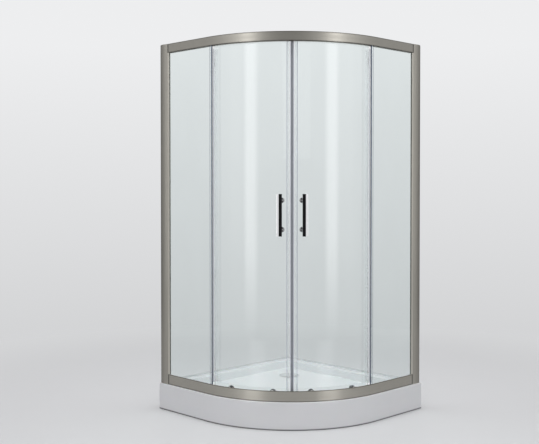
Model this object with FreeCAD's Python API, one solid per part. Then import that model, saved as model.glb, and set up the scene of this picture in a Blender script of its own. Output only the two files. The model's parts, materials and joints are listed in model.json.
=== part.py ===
"""Quadrant shower enclosure: low tray, curved rails, two fixed panes and two curved sliding doors.

Millimetres, +Z up.  The origin is on the floor at the centre of the square footprint.
The two walls lie along X = -half and Y = +half.  The curved front faces +X and -Y.
The left half is modelled and the right half is its mirror image about the diagonal.
The distance "inset" is measured inward from the front face of the tray.
"""
import FreeCAD
import Part
import math
import os
from FreeCAD import Vector

os.makedirs("parts", exist_ok=True)

# ---------------------------------------------------------------- driving dimensions
# Footprint and heights
side = 1000.0                 # length of the footprint along each wall
front_radius = 615.0          # radius of the tray's curved front
rim_height = 138.0            # floor to the tray's rim
overall_height = 1958.0       # floor to the top of the enclosure

# Tray
tray_skin = 5.0
rim_edge_radius = 3.0
wall_lip_height = 30.0        # short lip of the tray along the two walls
upstand_height = 9.0
upstand_thickness = 8.0
wall_rim_width = 61.0
front_rim_width = 68.0
basin_floor_height = 100.0
basin_slope_run = 10.0
basin_corner_radius = 40.0
board_thickness = 15.0
board_margin = 80.0
board_hole_gap = 6.0           # support board clear of the waste flange
bar_width = 30.0
bar_depth = 25.0
bar_wall = 2.0
bar_from_wall = 90.0           # first support bar, from the wall at X = -half
bar_from_front = 290.0         # last support bar, from the front's farthest point
foot_pad_radius = 25.0
foot_pad_top_radius = 15.0
foot_pad_height = 12.0
foot_rod_radius = 5.0
foot_nut_radius = 9.0
foot_nut_height = 8.0
foot_end_distance = 60.0

# Waste
waste_from_walls = 235.0
waste_hole_radius = 45.0
waste_cover_radius = 57.5
waste_cover_rise = 7.0
waste_cover_gap = 3.0
waste_cover_skin = 1.5
waste_flange_radius = 54.0
waste_flange_thickness = 2.0
waste_seal_thickness = 3.0
waste_body_radius = 52.0
waste_body_wall = 3.0
waste_body_bottom = 22.0
waste_outlet_radius = 20.0
waste_outlet_wall = 3.0
waste_outlet_height = 48.0
waste_outlet_length = 110.0
outlet_nut_gap = 2.0
outlet_nut_wall = 6.0
outlet_nut_length = 18.0

# Rails
rail_inset = 11.0
rail_height = 47.0
bottom_front_rise = 7.0        # front wall of the bottom rail above its middle wall
rail_end_gap = 1.5             # open seam between each rail's end and the profile at the wall
rail_skin = 2.5
rail_web = 1.5
rail_edge_radius = 1.5
pane_slot_width = 9.0
wheel_slot_width = 14.0
lip_thickness = 2.2
bottom_bead_rise = 4.3
top_bead_rise = 3.0
top_back_height = 22.0

# Wall channels and jambs
channel_width = 61.5
channel_inset = 12.3           # front of the channel at its two edges
channel_crown = 4.0            # bulge of the channel's front between its edges
channel_depth = 22.0
channel_skin = 2.0
channel_cap_height = 10.0
channel_cap_corner = 8.0
channel_plug_length = 8.0
slide_gap = 0.2
jamb_skin = 1.5
jamb_wall_gap = 6.0
jamb_pocket_depth = 13.0
joint_gap = 0.3
fixing_end_distance = 162.0    # outer wall fixings, from the profile's ends
fixing_hole_radius = 2.5
screw_radius = 2.0
screw_head_radius = 3.5
screw_head_height = 2.5
screw_grip = 10.0
screw_clearance = 0.1
rail_screw_length = 22.0
rail_screw_offset = 3.0        # rail screws behind the front of the wheel slot
end_block_length = 26.0

# Glass and seals
glass_thickness = 6.0
pane_inset = 15.0
jamb_pane_gap_side = 1.0      # gasket between the fixed pane and each side of the jamb's pocket
pane_seat = 6.0               # gasket under and over the fixed pane
pane_past_tangent = 28.0
jamb_pane_gap = 3.0
strike_clip_length = 14.0
seal_skin = 1.4
strike_fin_length = 11.5
fin_thickness = 1.5
wheel_headroom = 11.0
hook_end_distance = 16.5       # ends of the door seals clear of the wheels
hook_gap = 0.8
hook_clip_length = 22.0
hook_edge_distance = 12.0
hook_tip_gap = 3.5

# Doors
door_inset = 45.0
door_bottom_gap = 14.0         # glass above the tray's rim
door_top_gap = 12.0            # glass below the top of the enclosure
meeting_gap = 0.4
magnet_width = 4.8
magnet_thickness = 8.0
chamber_width = 6.8
meeting_clip_length = 15.0
drip_clip_height = 9.0
drip_floor_gap = 1.2

# Rollers
wheel_radius = 9.5
bottom_axle_drop = 3.5         # axle below the top of the bottom rail's middle wall
wheel_width = 5.0
wheel_groove = 0.8
wheel_bore_gap = 0.05
track_gap = 0.3
stud_radius = 3.0
axle_head_radius = 5.0
axle_head_height = 1.6
axle_shoulder_radius = 4.0
axle_shoulder_length = 1.5
side_float = 0.3
boss_radius = 15.0
boss_thickness = 2.0
stud_hole_gap = 1.0
cap_radius = 15.0
cap_height = 9.0
cap_seat_gap = 0.2            # lets a flat face sit on the hollow side of the curved glass
bottom_stud_drop = 3.0         # stud below the axle, set by turning the eccentric boss
top_stud_lift = 6.0            # stud above the axle
inner_roller_angle = 9.6
outer_roller_angle = 32.7

# Handles
handle_height = 1058.0
handle_length = 208.0
post_pitch = 145.0
bar_face_width = 27.0
bar_thickness = 10.0
bar_standoff = 40.0
insert_width = 16.0
insert_depth = 5.0
bar_edge_radius = 1.2
post_lateral = 50.0
post_radius = 4.5
post_to_bar_edge = 3.5
rosette_radius = 13.5
rosette_thickness = 3.0
post_hole_gap = 1.5
knob_radius = 12.5
knob_height = 11.0

# Door stops
door_travel = 220.0
stop_length = 14.0
stop_side_gap = 0.8
stop_wheel_gap = 2.0
stop_height = 15.0

# ---------------------------------------------------------------- derived places
half = side / 2
straight = side - front_radius
centre = Vector(-half + straight, half - straight, 0)
up = Vector(0, 0, 1)
tangent_x = -half + straight
slot_start = rail_inset + rail_skin
slot_end = slot_start + pane_slot_width
wheel_slot_start = slot_end + rail_web
wheel_slot_end = wheel_slot_start + wheel_slot_width
rail_back = wheel_slot_end
wheel_inset = (wheel_slot_start + wheel_slot_end) / 2
pane_back = pane_inset + glass_thickness
door_back = door_inset + glass_thickness
bottom_rail_top = rim_height + rail_height
bottom_front_top = bottom_rail_top + bottom_front_rise
top_rail_bottom = overall_height - rail_height
rail_start_x = -half + channel_width
profile_end_x = rail_start_x - rail_end_gap
channel_back = channel_inset + channel_depth
jamb_front = channel_inset + channel_skin + slide_gap
jamb_back = channel_back - channel_skin - slide_gap
bottom_axle_height = bottom_rail_top - bottom_axle_drop
bottom_track_height = bottom_axle_height - wheel_radius - track_gap
top_track_height = top_rail_bottom + lip_thickness
top_axle_height = top_track_height + track_gap + wheel_radius
basin_underside = basin_floor_height - tray_skin
door_bottom_height = rim_height + door_bottom_gap
door_top_height = overall_height - door_top_gap


# ---------------------------------------------------------------- helpers
def spread(first, last):
    """Three places: the first, the middle and the last."""
    return (first, (first + last) / 2, last)


def bar_places():
    """X of each support bar."""
    return spread(-half + bar_from_wall, half - bar_from_front)


def fixing_heights():
    """Heights of the wall fixings and of the screws through the jamb."""
    return spread(rim_height + fixing_end_distance, overall_height - fixing_end_distance)


def turn(length, inset):
    """Angle in degrees that a length takes on the arc at this inset."""
    return math.degrees(length / (front_radius - inset))


def outline(points, radii=None):
    """Closed wire through (u, v) points, with an arc in place of each corner that has a radius."""
    count = len(points)
    radii = radii or [0.0] * count
    corners = []
    for index, point in enumerate(points):
        radius = radii[index]
        here = Vector(point[0], point[1], 0)
        if radius <= 0:
            corners.append((here, None, here))
            continue
        before = Vector(*points[index - 1], 0) - here
        after = Vector(*points[(index + 1) % count], 0) - here
        opening = before.getAngle(after)
        back = radius / math.tan(opening / 2)
        before.normalize()
        after.normalize()
        start = here + before * back
        end = here + after * back
        middle_way = before + after
        middle_way.normalize()
        reach = radius / math.sin(opening / 2) - radius
        corners.append((start, here + middle_way * reach, end))
    edges = []
    for index, (start, middle, end) in enumerate(corners):
        if middle is not None:
            edges.append(Part.Arc(start, middle, end).toShape())
        following = corners[(index + 1) % count][0]
        if (following - end).Length > 1e-6:
            edges.append(Part.LineSegment(end, following).toShape())
    return Part.Wire(edges)


def front_section(points, radii=None):
    """Face of (inset, height) points, standing across the left straight run at its tangent."""
    face = Part.Face(outline(points, radii))
    face.rotate(Vector(0, 0, 0), Vector(1, 1, 1), 120)
    face.translate(Vector(tangent_x, -half, 0))
    return face


def mirrored(shape):
    """The right-hand copy of a left-hand shape."""
    return shape.mirror(Vector(0, 0, 0), Vector(1, 1, 0))


def straight_run(points, start_x, end_x, radii=None):
    """Section of (inset, height) points drawn out along the left straight run."""
    face = front_section(points, radii)
    face.translate(Vector(start_x - tangent_x, 0, 0))
    return face.extrude(Vector(end_x - start_x, 0, 0))


def along_front(points, start_x, radii=None):
    """Section of (inset, height) points drawn along the whole front, wall to wall."""
    left = straight_run(points, start_x, tangent_x, radii)
    curve = front_section(points, radii).revolve(centre, up, 90)
    return left.fuse([curve, mirrored(left)]).removeSplitter()


def arc_band(points, angle_from, angle_to, radii=None):
    """Section of (inset, height) points turned on the arc between two angles from the diagonal."""
    face = Part.Face(outline(points, radii))
    face.rotate(Vector(0, 0, 0), Vector(1, 0, 0), 90)
    face.rotate(Vector(0, 0, 0), up, 180)
    face.translate(centre + Vector(front_radius, 0, 0))
    face.rotate(centre, up, -45 - angle_to)
    return face.revolve(centre, up, angle_to - angle_from)


def box_points(inset_from, inset_to, low, high):
    return [(inset_from, low), (inset_to, low), (inset_to, high), (inset_from, high)]


def run_box(x_from, x_to, inset_from, inset_to, low, high):
    """Box on the left straight run."""
    size = (x_to - x_from, inset_to - inset_from, high - low)
    return Part.makeBox(*size, Vector(x_from, -half + inset_from, low))


def on_door(shape, angle):
    """Place a shape drawn in (radius, lateral, height) at an angle from the diagonal on the left door."""
    shape.rotate(Vector(0, 0, 0), up, -45 - angle)
    shape.translate(centre)
    return shape


def spindle(radius, inset_from, inset_to, height, lateral=0.0):
    """Cylinder along a radius of the front, from one inset to a smaller one, at a height."""
    start = Vector(front_radius - inset_from, lateral, height)
    return Part.makeCylinder(radius, inset_from - inset_to, start, Vector(1, 0, 0))


def rounded_rim(shape, inset, radius):
    """Fillet the circular edges of a spindle that lie at this inset."""
    place = front_radius - inset
    edges = []
    for edge in shape.Edges:
        box = edge.BoundBox
        if abs(box.XMin - place) < 1e-4 and abs(box.XMax - place) < 1e-4:
            edges.append(edge)
    return shape.makeFillet(radius, edges)


def export(name, shape):
    solids = shape.Solids
    result = solids[0] if len(solids) == 1 else Part.makeCompound(solids)
    result.exportStep("parts/" + name + ".step")
    print(name, len(solids), "valid" if result.isValid() else "INVALID", round(result.Volume / 1000, 2))


def export_pair(name, shape):
    export("left_" + name, shape)
    export("right_" + name, mirrored(shape))


# ---------------------------------------------------------------- tray
def plan_wire(wall_inset, front_inset, height, corner_radius=0.0):
    """Outline of the tray moved inward, with rounded wall corners if asked."""
    low_x = -half + wall_inset
    high_y = half - wall_inset
    low_y = -half + front_inset
    high_x = half - front_inset
    radius = front_radius - front_inset
    corner = corner_radius
    away = corner * (1 - math.sqrt(0.5))
    start = Vector(low_x, low_y + corner, 0)
    bottom_run = Vector(centre.x, low_y, 0)
    nose = centre + Vector(radius * math.cos(math.pi / 4), -radius * math.sin(math.pi / 4), 0)
    side_run = Vector(high_x, centre.y, 0)
    edges = []
    if corner > 0:
        middle = Vector(low_x + away, low_y + away, 0)
        edges.append(Part.Arc(start, middle, Vector(low_x + corner, low_y, 0)).toShape())
    edges.append(Part.LineSegment(Vector(low_x + corner, low_y, 0), bottom_run).toShape())
    edges.append(Part.Arc(bottom_run, nose, side_run).toShape())
    edges.append(Part.LineSegment(side_run, Vector(high_x, high_y - corner, 0)).toShape())
    if corner > 0:
        middle = Vector(high_x - away, high_y - away, 0)
        end = Vector(high_x - corner, high_y, 0)
        edges.append(Part.Arc(Vector(high_x, high_y - corner, 0), middle, end).toShape())
    wall_run = Vector(high_x - corner, high_y, 0)
    edges.append(Part.LineSegment(wall_run, Vector(low_x + corner, high_y, 0)).toShape())
    if corner > 0:
        middle = Vector(low_x + away, high_y - away, 0)
        end = Vector(low_x, high_y - corner, 0)
        edges.append(Part.Arc(Vector(low_x + corner, high_y, 0), middle, end).toShape())
    edges.append(Part.LineSegment(Vector(low_x, high_y - corner, 0), start).toShape())
    wire = Part.Wire(edges)
    wire.translate(Vector(0, 0, height))
    return wire


def plan_prism(wall_inset, front_inset, low, high, corner_radius=0.0):
    wire = plan_wire(wall_inset, front_inset, low, corner_radius)
    return Part.Face(wire).extrude(Vector(0, 0, high - low))


def bowl(grow, low, high):
    """Tapered basin shape; grow moves every side outward and keeps the slope."""
    run = basin_slope_run * (high - low) / (rim_height - basin_floor_height)
    top = plan_wire(wall_rim_width - grow, front_rim_width - grow, high, basin_corner_radius)
    foot = plan_wire(wall_rim_width - grow + run, front_rim_width - grow + run, low, basin_corner_radius)
    return Part.makeLoft([foot, top], True, True)


def waste_centre():
    return Vector(-half + waste_from_walls, half - waste_from_walls, 0)


def waste_disc(radius, low, high):
    return Part.makeCylinder(radius, high - low, waste_centre() + Vector(0, 0, low))


def tray_shell():
    shell = plan_prism(0, 0, 0, rim_height)
    rim_edges = []
    for edge in shell.Edges:
        box = edge.BoundBox
        at_rim = abs(box.ZMin - rim_height) < 1e-4 and abs(box.ZMax - rim_height) < 1e-4
        on_wall = abs(box.XMax + half) < 1e-4 or abs(box.YMin - half) < 1e-4
        if at_rim and not on_wall:
            rim_edges.append(edge)
    shell = shell.makeFillet(rim_edge_radius, rim_edges)
    hollow = plan_prism(-1, tray_skin, -1, rim_height - wall_lip_height)
    under_rim = plan_prism(tray_skin, tray_skin, -1, rim_height - tray_skin)
    bowl_outside = bowl(tray_skin, basin_underside, rim_height)
    shell = shell.cut(hollow.fuse(under_rim).cut(bowl_outside))
    shell = shell.cut(bowl(0, basin_floor_height, rim_height))
    shell = shell.cut(waste_disc(waste_hole_radius, 0, rim_height))
    recess = basin_floor_height - waste_flange_thickness
    shell = shell.cut(waste_disc(waste_flange_radius, recess, rim_height))
    start = channel_back + slide_gap
    corner = Vector(-half, -half + start, rim_height)
    back = Part.makeBox(upstand_thickness, side - start, upstand_height, corner)
    return shell.fuse([back, mirrored(back)]).removeSplitter()


def support_board():
    low = basin_underside - board_thickness
    board = plan_prism(board_margin, board_margin, low, basin_underside, basin_corner_radius)
    return board.cut(waste_disc(waste_flange_radius + board_hole_gap, 0, rim_height))


def bar_ends(x_place):
    """Y limits of a support bar that stays under the board."""
    reach = front_radius - board_margin
    across = max(x_place + bar_width / 2 - centre.x, 0)
    low = centre.y - math.sqrt(reach * reach - across * across)
    return low, half - board_margin


def bar_top():
    return basin_underside - board_thickness


def foot_places():
    places = []
    for x_place in bar_places():
        low, high = bar_ends(x_place)
        places.append((x_place, low + foot_end_distance))
        places.append((x_place, high - foot_end_distance))
    return places


def support_bars():
    bars = []
    for x_place in bar_places():
        low, high = bar_ends(x_place)
        corner = Vector(x_place - bar_width / 2, low, bar_top() - bar_depth)
        bar = Part.makeBox(bar_width, high - low, bar_depth, corner)
        inner_corner = corner + Vector(bar_wall, -1, bar_wall)
        inner_width = bar_width - 2 * bar_wall
        inner_depth = bar_depth - 2 * bar_wall
        inner = Part.makeBox(inner_width, high - low + 2, inner_depth, inner_corner)
        bars.append(bar.cut(inner))
    for index, (x_place, y_place) in enumerate(foot_places()):
        place = Vector(x_place, y_place, bar_top() - bar_depth - bar_wall)
        hole = Part.makeCylinder(foot_rod_radius + screw_clearance, bar_depth, place)
        bars[index // 2] = bars[index // 2].cut(hole)
    return Part.makeCompound(bars)


def foot_pads():
    pads = []
    for x_place, y_place in foot_places():
        base = Vector(x_place, y_place, 0)
        pad = Part.makeCone(foot_pad_radius, foot_pad_top_radius, foot_pad_height, base)
        socket_low = foot_pad_height / 2
        socket = Part.makeCylinder(foot_rod_radius, foot_pad_height, base + Vector(0, 0, socket_low))
        pads.append(pad.cut(socket))
    return Part.makeCompound(pads)


def foot_rods():
    rods = []
    low = foot_pad_height / 2
    high = bar_top() - bar_wall - screw_clearance
    for x_place, y_place in foot_places():
        rods.append(Part.makeCylinder(foot_rod_radius, high - low, Vector(x_place, y_place, low)))
    return Part.makeCompound(rods)


def hex_prism(radius, height, place):
    turns = [math.radians(60 * k) for k in range(6)]
    points = [(radius * math.cos(angle), radius * math.sin(angle)) for angle in turns]
    prism = Part.Face(outline(points)).extrude(Vector(0, 0, height))
    prism.translate(place)
    return prism


def foot_nuts():
    nuts = []
    high = bar_top() - bar_depth
    for x_place, y_place in foot_places():
        place = Vector(x_place, y_place, high - foot_nut_height)
        nut = hex_prism(foot_nut_radius, foot_nut_height, place)
        nuts.append(nut.cut(Part.makeCylinder(foot_rod_radius, foot_nut_height, place)))
    return Part.makeCompound(nuts)


# ---------------------------------------------------------------- waste
def waste_flange():
    top = basin_floor_height
    ring = waste_disc(waste_flange_radius, top - waste_flange_thickness, top)
    neck = waste_disc(waste_hole_radius, basin_underside - waste_seal_thickness, top)
    bore = waste_disc(waste_hole_radius - waste_body_wall, 0, rim_height)
    return ring.fuse(neck).cut(bore).removeSplitter()


def waste_cover():
    top = basin_floor_height + waste_cover_gap + waste_cover_rise
    rise = waste_cover_rise
    sphere_radius = (waste_cover_radius ** 2 + rise ** 2) / (2 * rise)
    sphere_centre = waste_centre() + Vector(0, 0, top - sphere_radius)
    rim = basin_floor_height + waste_cover_gap
    ball = Part.makeSphere(sphere_radius, sphere_centre)
    dome = ball.common(waste_disc(waste_cover_radius, rim, top + 1))
    inner = Part.makeSphere(sphere_radius - waste_cover_skin, sphere_centre)
    dome = dome.cut(inner)
    stem_low = basin_underside - waste_seal_thickness
    stem = waste_disc(stud_radius, stem_low, top - waste_cover_skin / 2)
    spokes = []
    length = waste_hole_radius - waste_body_wall
    for angle in (0, 120, 240):
        corner = Vector(0, -waste_cover_skin / 2, stem_low)
        spoke = Part.makeBox(length, waste_cover_skin, waste_cover_gap, corner)
        spoke.rotate(Vector(0, 0, 0), up, angle)
        spoke.translate(waste_centre())
        spokes.append(spoke)
    return dome.fuse([stem] + spokes).removeSplitter()


def waste_seal():
    high = basin_underside
    ring = waste_disc(waste_flange_radius - 2, high - waste_seal_thickness, high)
    return ring.cut(waste_disc(waste_hole_radius, 0, rim_height))


def waste_outlet_axis(distance):
    return waste_centre() + Vector(0, distance, waste_outlet_height)


def tube_along_y(radius, length, start):
    return Part.makeCylinder(radius, length, start, Vector(0, 1, 0))


def waste_body():
    high = basin_underside - waste_seal_thickness
    body = waste_disc(waste_body_radius, waste_body_bottom, high)
    hollow = waste_disc(waste_body_radius - waste_body_wall, waste_body_bottom + waste_body_wall, high + 1)
    port = tube_along_y(waste_outlet_radius, 2 * waste_body_radius, waste_outlet_axis(0))
    return body.cut(hollow).cut(port)


def waste_outlet():
    start = waste_outlet_axis(waste_body_radius - waste_body_wall)
    pipe = tube_along_y(waste_outlet_radius, waste_outlet_length, start)
    bore = tube_along_y(waste_outlet_radius - waste_outlet_wall, waste_outlet_length, start)
    nut_start = waste_outlet_axis(waste_body_radius + outlet_nut_gap)
    nut = tube_along_y(waste_outlet_radius + outlet_nut_wall, outlet_nut_length, nut_start)
    pipe = pipe.cut(waste_disc(waste_body_radius - waste_body_wall, 0, rim_height))
    return pipe.fuse(nut).cut(bore).removeSplitter()


# ---------------------------------------------------------------- rails
def bottom_rail():
    low = rim_height
    high = bottom_rail_top
    floor_top = bottom_track_height
    points = [
        (rail_inset, low), (rail_back + rail_web, low),
        (rail_back + rail_web, floor_top + bottom_bead_rise), (rail_back, floor_top + bottom_bead_rise),
        (rail_back, floor_top), (wheel_slot_start, floor_top),
        (wheel_slot_start, high), (slot_end, high),
        (slot_end, low + rail_web), (slot_start, low + rail_web),
        (slot_start, bottom_front_top), (rail_inset, bottom_front_top),
    ]
    radii = [rail_edge_radius] + [0] * 10 + [rail_edge_radius]
    rail = along_front(points, rail_start_x, radii)
    duct = box_points(wheel_slot_start, rail_back, low + rail_web, floor_top - lip_thickness)
    return rail.cut(along_front(duct, rail_start_x - 1))


def top_rail():
    low = top_rail_bottom
    high = overall_height
    lip_top = top_track_height
    back = rail_back + rail_web
    points = [
        (rail_inset, low), (slot_start, low),
        (slot_start, high - rail_web), (slot_end, high - rail_web),
        (slot_end, low), (back, low),
        (back, lip_top + top_bead_rise), (rail_back, lip_top + top_bead_rise),
        (rail_back, lip_top), (wheel_slot_start, lip_top),
        (wheel_slot_start, high - rail_web), (rail_back, high - rail_web),
        (rail_back, high - top_back_height), (back, high - top_back_height),
        (back, high), (rail_inset, high),
    ]
    radii = [rail_edge_radius] + [0] * 13 + [0, rail_edge_radius]
    return along_front(points, rail_start_x, radii)


# ---------------------------------------------------------------- wall channels and jambs
def cross_hole(place, length):
    """Clearance hole for a screw, running inward from a place."""
    return tube_along_y(screw_radius + screw_clearance, length, place)


def crowned_face(points, height):
    """Face of (x, inset) points at a height, whose first side bulges outward by the crown."""
    corners = [Vector(x, -half + inset, height) for x, inset in points]
    middle = (corners[0] + corners[1]) / 2 - Vector(0, channel_crown, 0)
    edges = [Part.Arc(corners[0], middle, corners[1]).toShape()]
    for start, end in zip(corners[1:], corners[2:] + corners[:1]):
        edges.append(Part.LineSegment(start, end).toShape())
    return Part.Face(Part.Wire(edges))


def wall_channel():
    low = rim_height
    high = overall_height - channel_cap_height
    points = [
        (-half, channel_inset), (profile_end_x, channel_inset),
        (profile_end_x, channel_inset + channel_skin),
        (-half + channel_skin, channel_inset + channel_skin),
        (-half + channel_skin, channel_back - channel_skin),
        (profile_end_x, channel_back - channel_skin),
        (profile_end_x, channel_back), (-half, channel_back),
    ]
    channel = crowned_face(points, low).extrude(Vector(0, 0, high - low))
    middle = -half + (channel_inset + channel_back) / 2
    for height in fixing_heights():
        start = Vector(-half - 1, middle, height)
        hole = Part.makeCylinder(fixing_hole_radius, 2 * channel_skin, start, Vector(1, 0, 0))
        channel = channel.cut(hole)
        place = Vector(jamb_screw_x(), -half + jamb_back, height)
        channel = channel.cut(cross_hole(place, screw_grip))
    return channel


def channel_caps():
    low = overall_height - channel_cap_height
    points = [(-half, channel_inset), (profile_end_x, channel_inset),
              (profile_end_x, channel_back), (-half, channel_back)]
    cap = crowned_face(points, low).extrude(Vector(0, 0, channel_cap_height))
    corners = [(-half, low - 1), (profile_end_x, low - 1),
               (profile_end_x, overall_height), (-half, overall_height)]
    elevation = Part.Face(outline(corners, [0, 0, 0, channel_cap_corner]))
    elevation.rotate(Vector(0, 0, 0), Vector(1, 0, 0), 90)
    elevation.translate(Vector(0, -half + channel_back, 0))
    cap = cap.common(elevation.extrude(Vector(0, -channel_depth - channel_crown, 0)))
    plug_x = -half + channel_skin + slide_gap
    plug = run_box(plug_x, plug_x + jamb_wall_gap - channel_skin - 2 * slide_gap, jamb_front, jamb_back,
                   low - channel_plug_length, low)
    cap = cap.fuse(plug).removeSplitter()
    return Part.makeCompound([cap, mirrored(cap)])


def jamb_screw_x():
    return (profile_end_x - half) / 2


def jamb():
    low = rim_height + joint_gap
    high = overall_height - channel_cap_height - joint_gap
    tube_from = -half + jamb_wall_gap
    tube_to = profile_end_x
    tube = run_box(tube_from, tube_to, jamb_front, jamb_back, low, high)
    hollow = run_box(tube_from + jamb_skin, tube_to - jamb_skin, jamb_front + jamb_skin,
                     jamb_back - jamb_skin, low - 1, high + 1)
    pocket_front = pane_inset - jamb_pane_gap_side
    pocket_back = pane_back + jamb_pane_gap_side
    pocket_low = bottom_front_top + joint_gap
    pocket_high = top_rail_bottom - joint_gap
    pocket = run_box(tube_to, tube_to + jamb_pocket_depth, pocket_front - jamb_skin,
                     pocket_back + jamb_skin, pocket_low, pocket_high)
    opening = run_box(tube_to + jamb_skin, tube_to + jamb_pocket_depth + 1, pocket_front, pocket_back,
                      pocket_low - 1, pocket_high + 1)
    frame = tube.cut(hollow).fuse(pocket.cut(opening)).removeSplitter()
    for height in fixing_heights():
        place = Vector(jamb_screw_x(), -half + jamb_back - screw_grip, height)
        frame = frame.cut(cross_hole(place, 2 * screw_grip))
    for inset, height in rail_screw_places():
        place = Vector(tube_to - 2 * jamb_skin, -half + inset, height)
        hole = Part.makeCylinder(screw_radius + screw_clearance, 3 * jamb_skin, place, Vector(1, 0, 0))
        frame = frame.cut(hole)
    return frame


def rail_screw_places():
    """(inset, height) of the screws that hold the bottom and top rail to the jamb."""
    inset = wheel_slot_start + rail_screw_offset
    bottom = (rim_height + rail_web + bottom_track_height - lip_thickness) / 2
    top = overall_height - (channel_cap_height + top_back_height) / 2
    return [(inset, bottom), (inset, top)]


def jamb_screws():
    screws = []
    for height in fixing_heights():
        tip = Vector(jamb_screw_x(), -half + jamb_back - jamb_skin - screw_grip / 2, height)
        length = channel_back - (jamb_back - jamb_skin - screw_grip / 2)
        shank = Part.makeCylinder(screw_radius, length, tip, Vector(0, 1, 0))
        seat = tip + Vector(0, length, 0)
        head = Part.makeCylinder(screw_head_radius, screw_head_height, seat, Vector(0, 1, 0))
        screw = shank.fuse(head).removeSplitter()
        screws.append(screw)
        screws.append(mirrored(screw))
    return Part.makeCompound(screws)


def end_blocks():
    blocks = []
    low_inset = wheel_slot_start + slide_gap
    high_inset = rail_back - slide_gap
    spans = [(rim_height + rail_web + slide_gap, bottom_track_height - lip_thickness - slide_gap),
             (overall_height - top_back_height, overall_height - rail_web - slide_gap)]
    for (low, high), (inset, height) in zip(spans, rail_screw_places()):
        start = profile_end_x + slide_gap
        block = run_box(start, start + end_block_length, low_inset, high_inset, low, high)
        bore_start = Vector(start - 1, -half + inset, height)
        bore_radius = screw_radius + screw_clearance / 2
        bore = Part.makeCylinder(bore_radius, rail_screw_length + 1, bore_start, Vector(1, 0, 0))
        block = block.cut(bore)
        blocks.append(block)
        blocks.append(mirrored(block))
    return Part.makeCompound(blocks)


def rail_screws():
    screws = []
    for inset, height in rail_screw_places():
        seat = Vector(profile_end_x - jamb_skin, -half + inset, height)
        shank = Part.makeCylinder(screw_radius, rail_screw_length, seat, Vector(1, 0, 0))
        head_start = seat - Vector(screw_head_height, 0, 0)
        head = Part.makeCylinder(screw_head_radius, screw_head_height, head_start, Vector(1, 0, 0))
        screw = shank.fuse(head).removeSplitter()
        screws.append(screw)
        screws.append(mirrored(screw))
    return Part.makeCompound(screws)


# ---------------------------------------------------------------- fixed panes
def pane_start_x():
    return profile_end_x + jamb_pane_gap


def pane_end_x():
    return tangent_x + pane_past_tangent


def pane_low():
    return rim_height + rail_web + pane_seat


def pane_high():
    return overall_height - rail_web - pane_seat


def fixed_pane():
    return run_box(pane_start_x(), pane_end_x(), pane_inset, pane_back, pane_low(), pane_high())


def glazing_gaskets():
    seat_low = rim_height + rail_web
    seat_high = overall_height - rail_web
    lower = run_box(rail_start_x, tangent_x, slot_start, slot_end, seat_low, bottom_rail_top - 1)
    upper = run_box(rail_start_x, tangent_x, slot_start, slot_end, top_rail_bottom + 1, seat_high)
    pane = fixed_pane()
    side_strip = run_box(profile_end_x + jamb_skin, profile_end_x + jamb_pocket_depth,
                         pane_inset - jamb_pane_gap_side, pane_back + jamb_pane_gap_side,
                         bottom_front_top + 2 * joint_gap, top_rail_bottom - 2 * joint_gap)
    return Part.makeCompound([lower.cut(pane), upper.cut(pane), side_strip.cut(pane)])


def strike_fin_x():
    return pane_end_x() + seal_skin - fin_thickness


def strike_seal():
    low = bottom_front_top + joint_gap
    high = top_rail_bottom - joint_gap
    start = pane_end_x() - strike_clip_length
    end = pane_end_x() + seal_skin
    clip = run_box(start, end, pane_inset - seal_skin, pane_back + seal_skin, low, high)
    clip = clip.cut(fixed_pane())
    fin_from = pane_back + seal_skin
    fin = run_box(strike_fin_x(), strike_fin_x() + fin_thickness, fin_from, fin_from + strike_fin_length,
                  bottom_rail_top + wheel_headroom, high - wheel_headroom / 2)
    return clip.fuse(fin).removeSplitter()


def door_stops():
    """Bumpers in the top rail's wheel slot, just past the outer wheels when the doors are open."""
    outer_arc = math.radians(45 - outer_roller_angle) * (front_radius - wheel_inset)
    wheel_x = tangent_x - (door_travel - outer_arc)
    end_x = wheel_x - wheel_radius - stop_wheel_gap
    low = top_track_height
    front = wheel_slot_start + stop_side_gap
    back = rail_back - stop_side_gap
    bumper = run_box(end_x - stop_length, end_x, front, back, low, low + stop_height)
    return Part.makeCompound([bumper, mirrored(bumper)])


# ---------------------------------------------------------------- doors
def hook_angle():
    """Angle of the side of the door's hook that meets the strike fin."""
    reach = front_radius - (pane_back + door_inset) / 2
    return 45 - math.degrees(math.asin((strike_fin_x() - hook_gap - centre.x) / reach))


def door_edge_angle():
    return hook_angle() + turn(hook_edge_distance, door_inset)


def meeting_glass_angle():
    return turn(meeting_gap + magnet_width + chamber_width, door_inset)


def roller_angles():
    return (inner_roller_angle, outer_roller_angle)


def stud_height(axle_height):
    """The boss is eccentric, so the stud through the glass stands below or above its wheel's axle."""
    if axle_height < handle_height:
        return axle_height - bottom_stud_drop
    return axle_height + top_stud_lift


def roller_places():
    """(angle, axle height) of each roller of one door."""
    heights = (bottom_axle_height, top_axle_height)
    return [(angle, height) for angle in roller_angles() for height in heights]


def post_angle():
    return math.degrees(math.asin(post_lateral / (front_radius - door_inset)))


def post_heights():
    return (handle_height - post_pitch / 2, handle_height + post_pitch / 2)


def door_glass():
    section = box_points(door_inset, door_back, door_bottom_height, door_top_height)
    glass = arc_band(section, meeting_glass_angle(), door_edge_angle())
    for angle, height in roller_places():
        hole = spindle(stud_radius + stud_hole_gap, door_back + 1, door_inset - 1, stud_height(height))
        glass = glass.cut(on_door(hole, angle))
    for height in post_heights():
        hole = spindle(post_radius + post_hole_gap, door_back + 1, door_inset - 1, height)
        glass = glass.cut(on_door(hole, post_angle()))
    return glass


def clip_band(angle_from, angle_to, low, high):
    section = box_points(door_inset - seal_skin, door_back + seal_skin, low, high)
    return arc_band(section, angle_from, angle_to)


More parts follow.
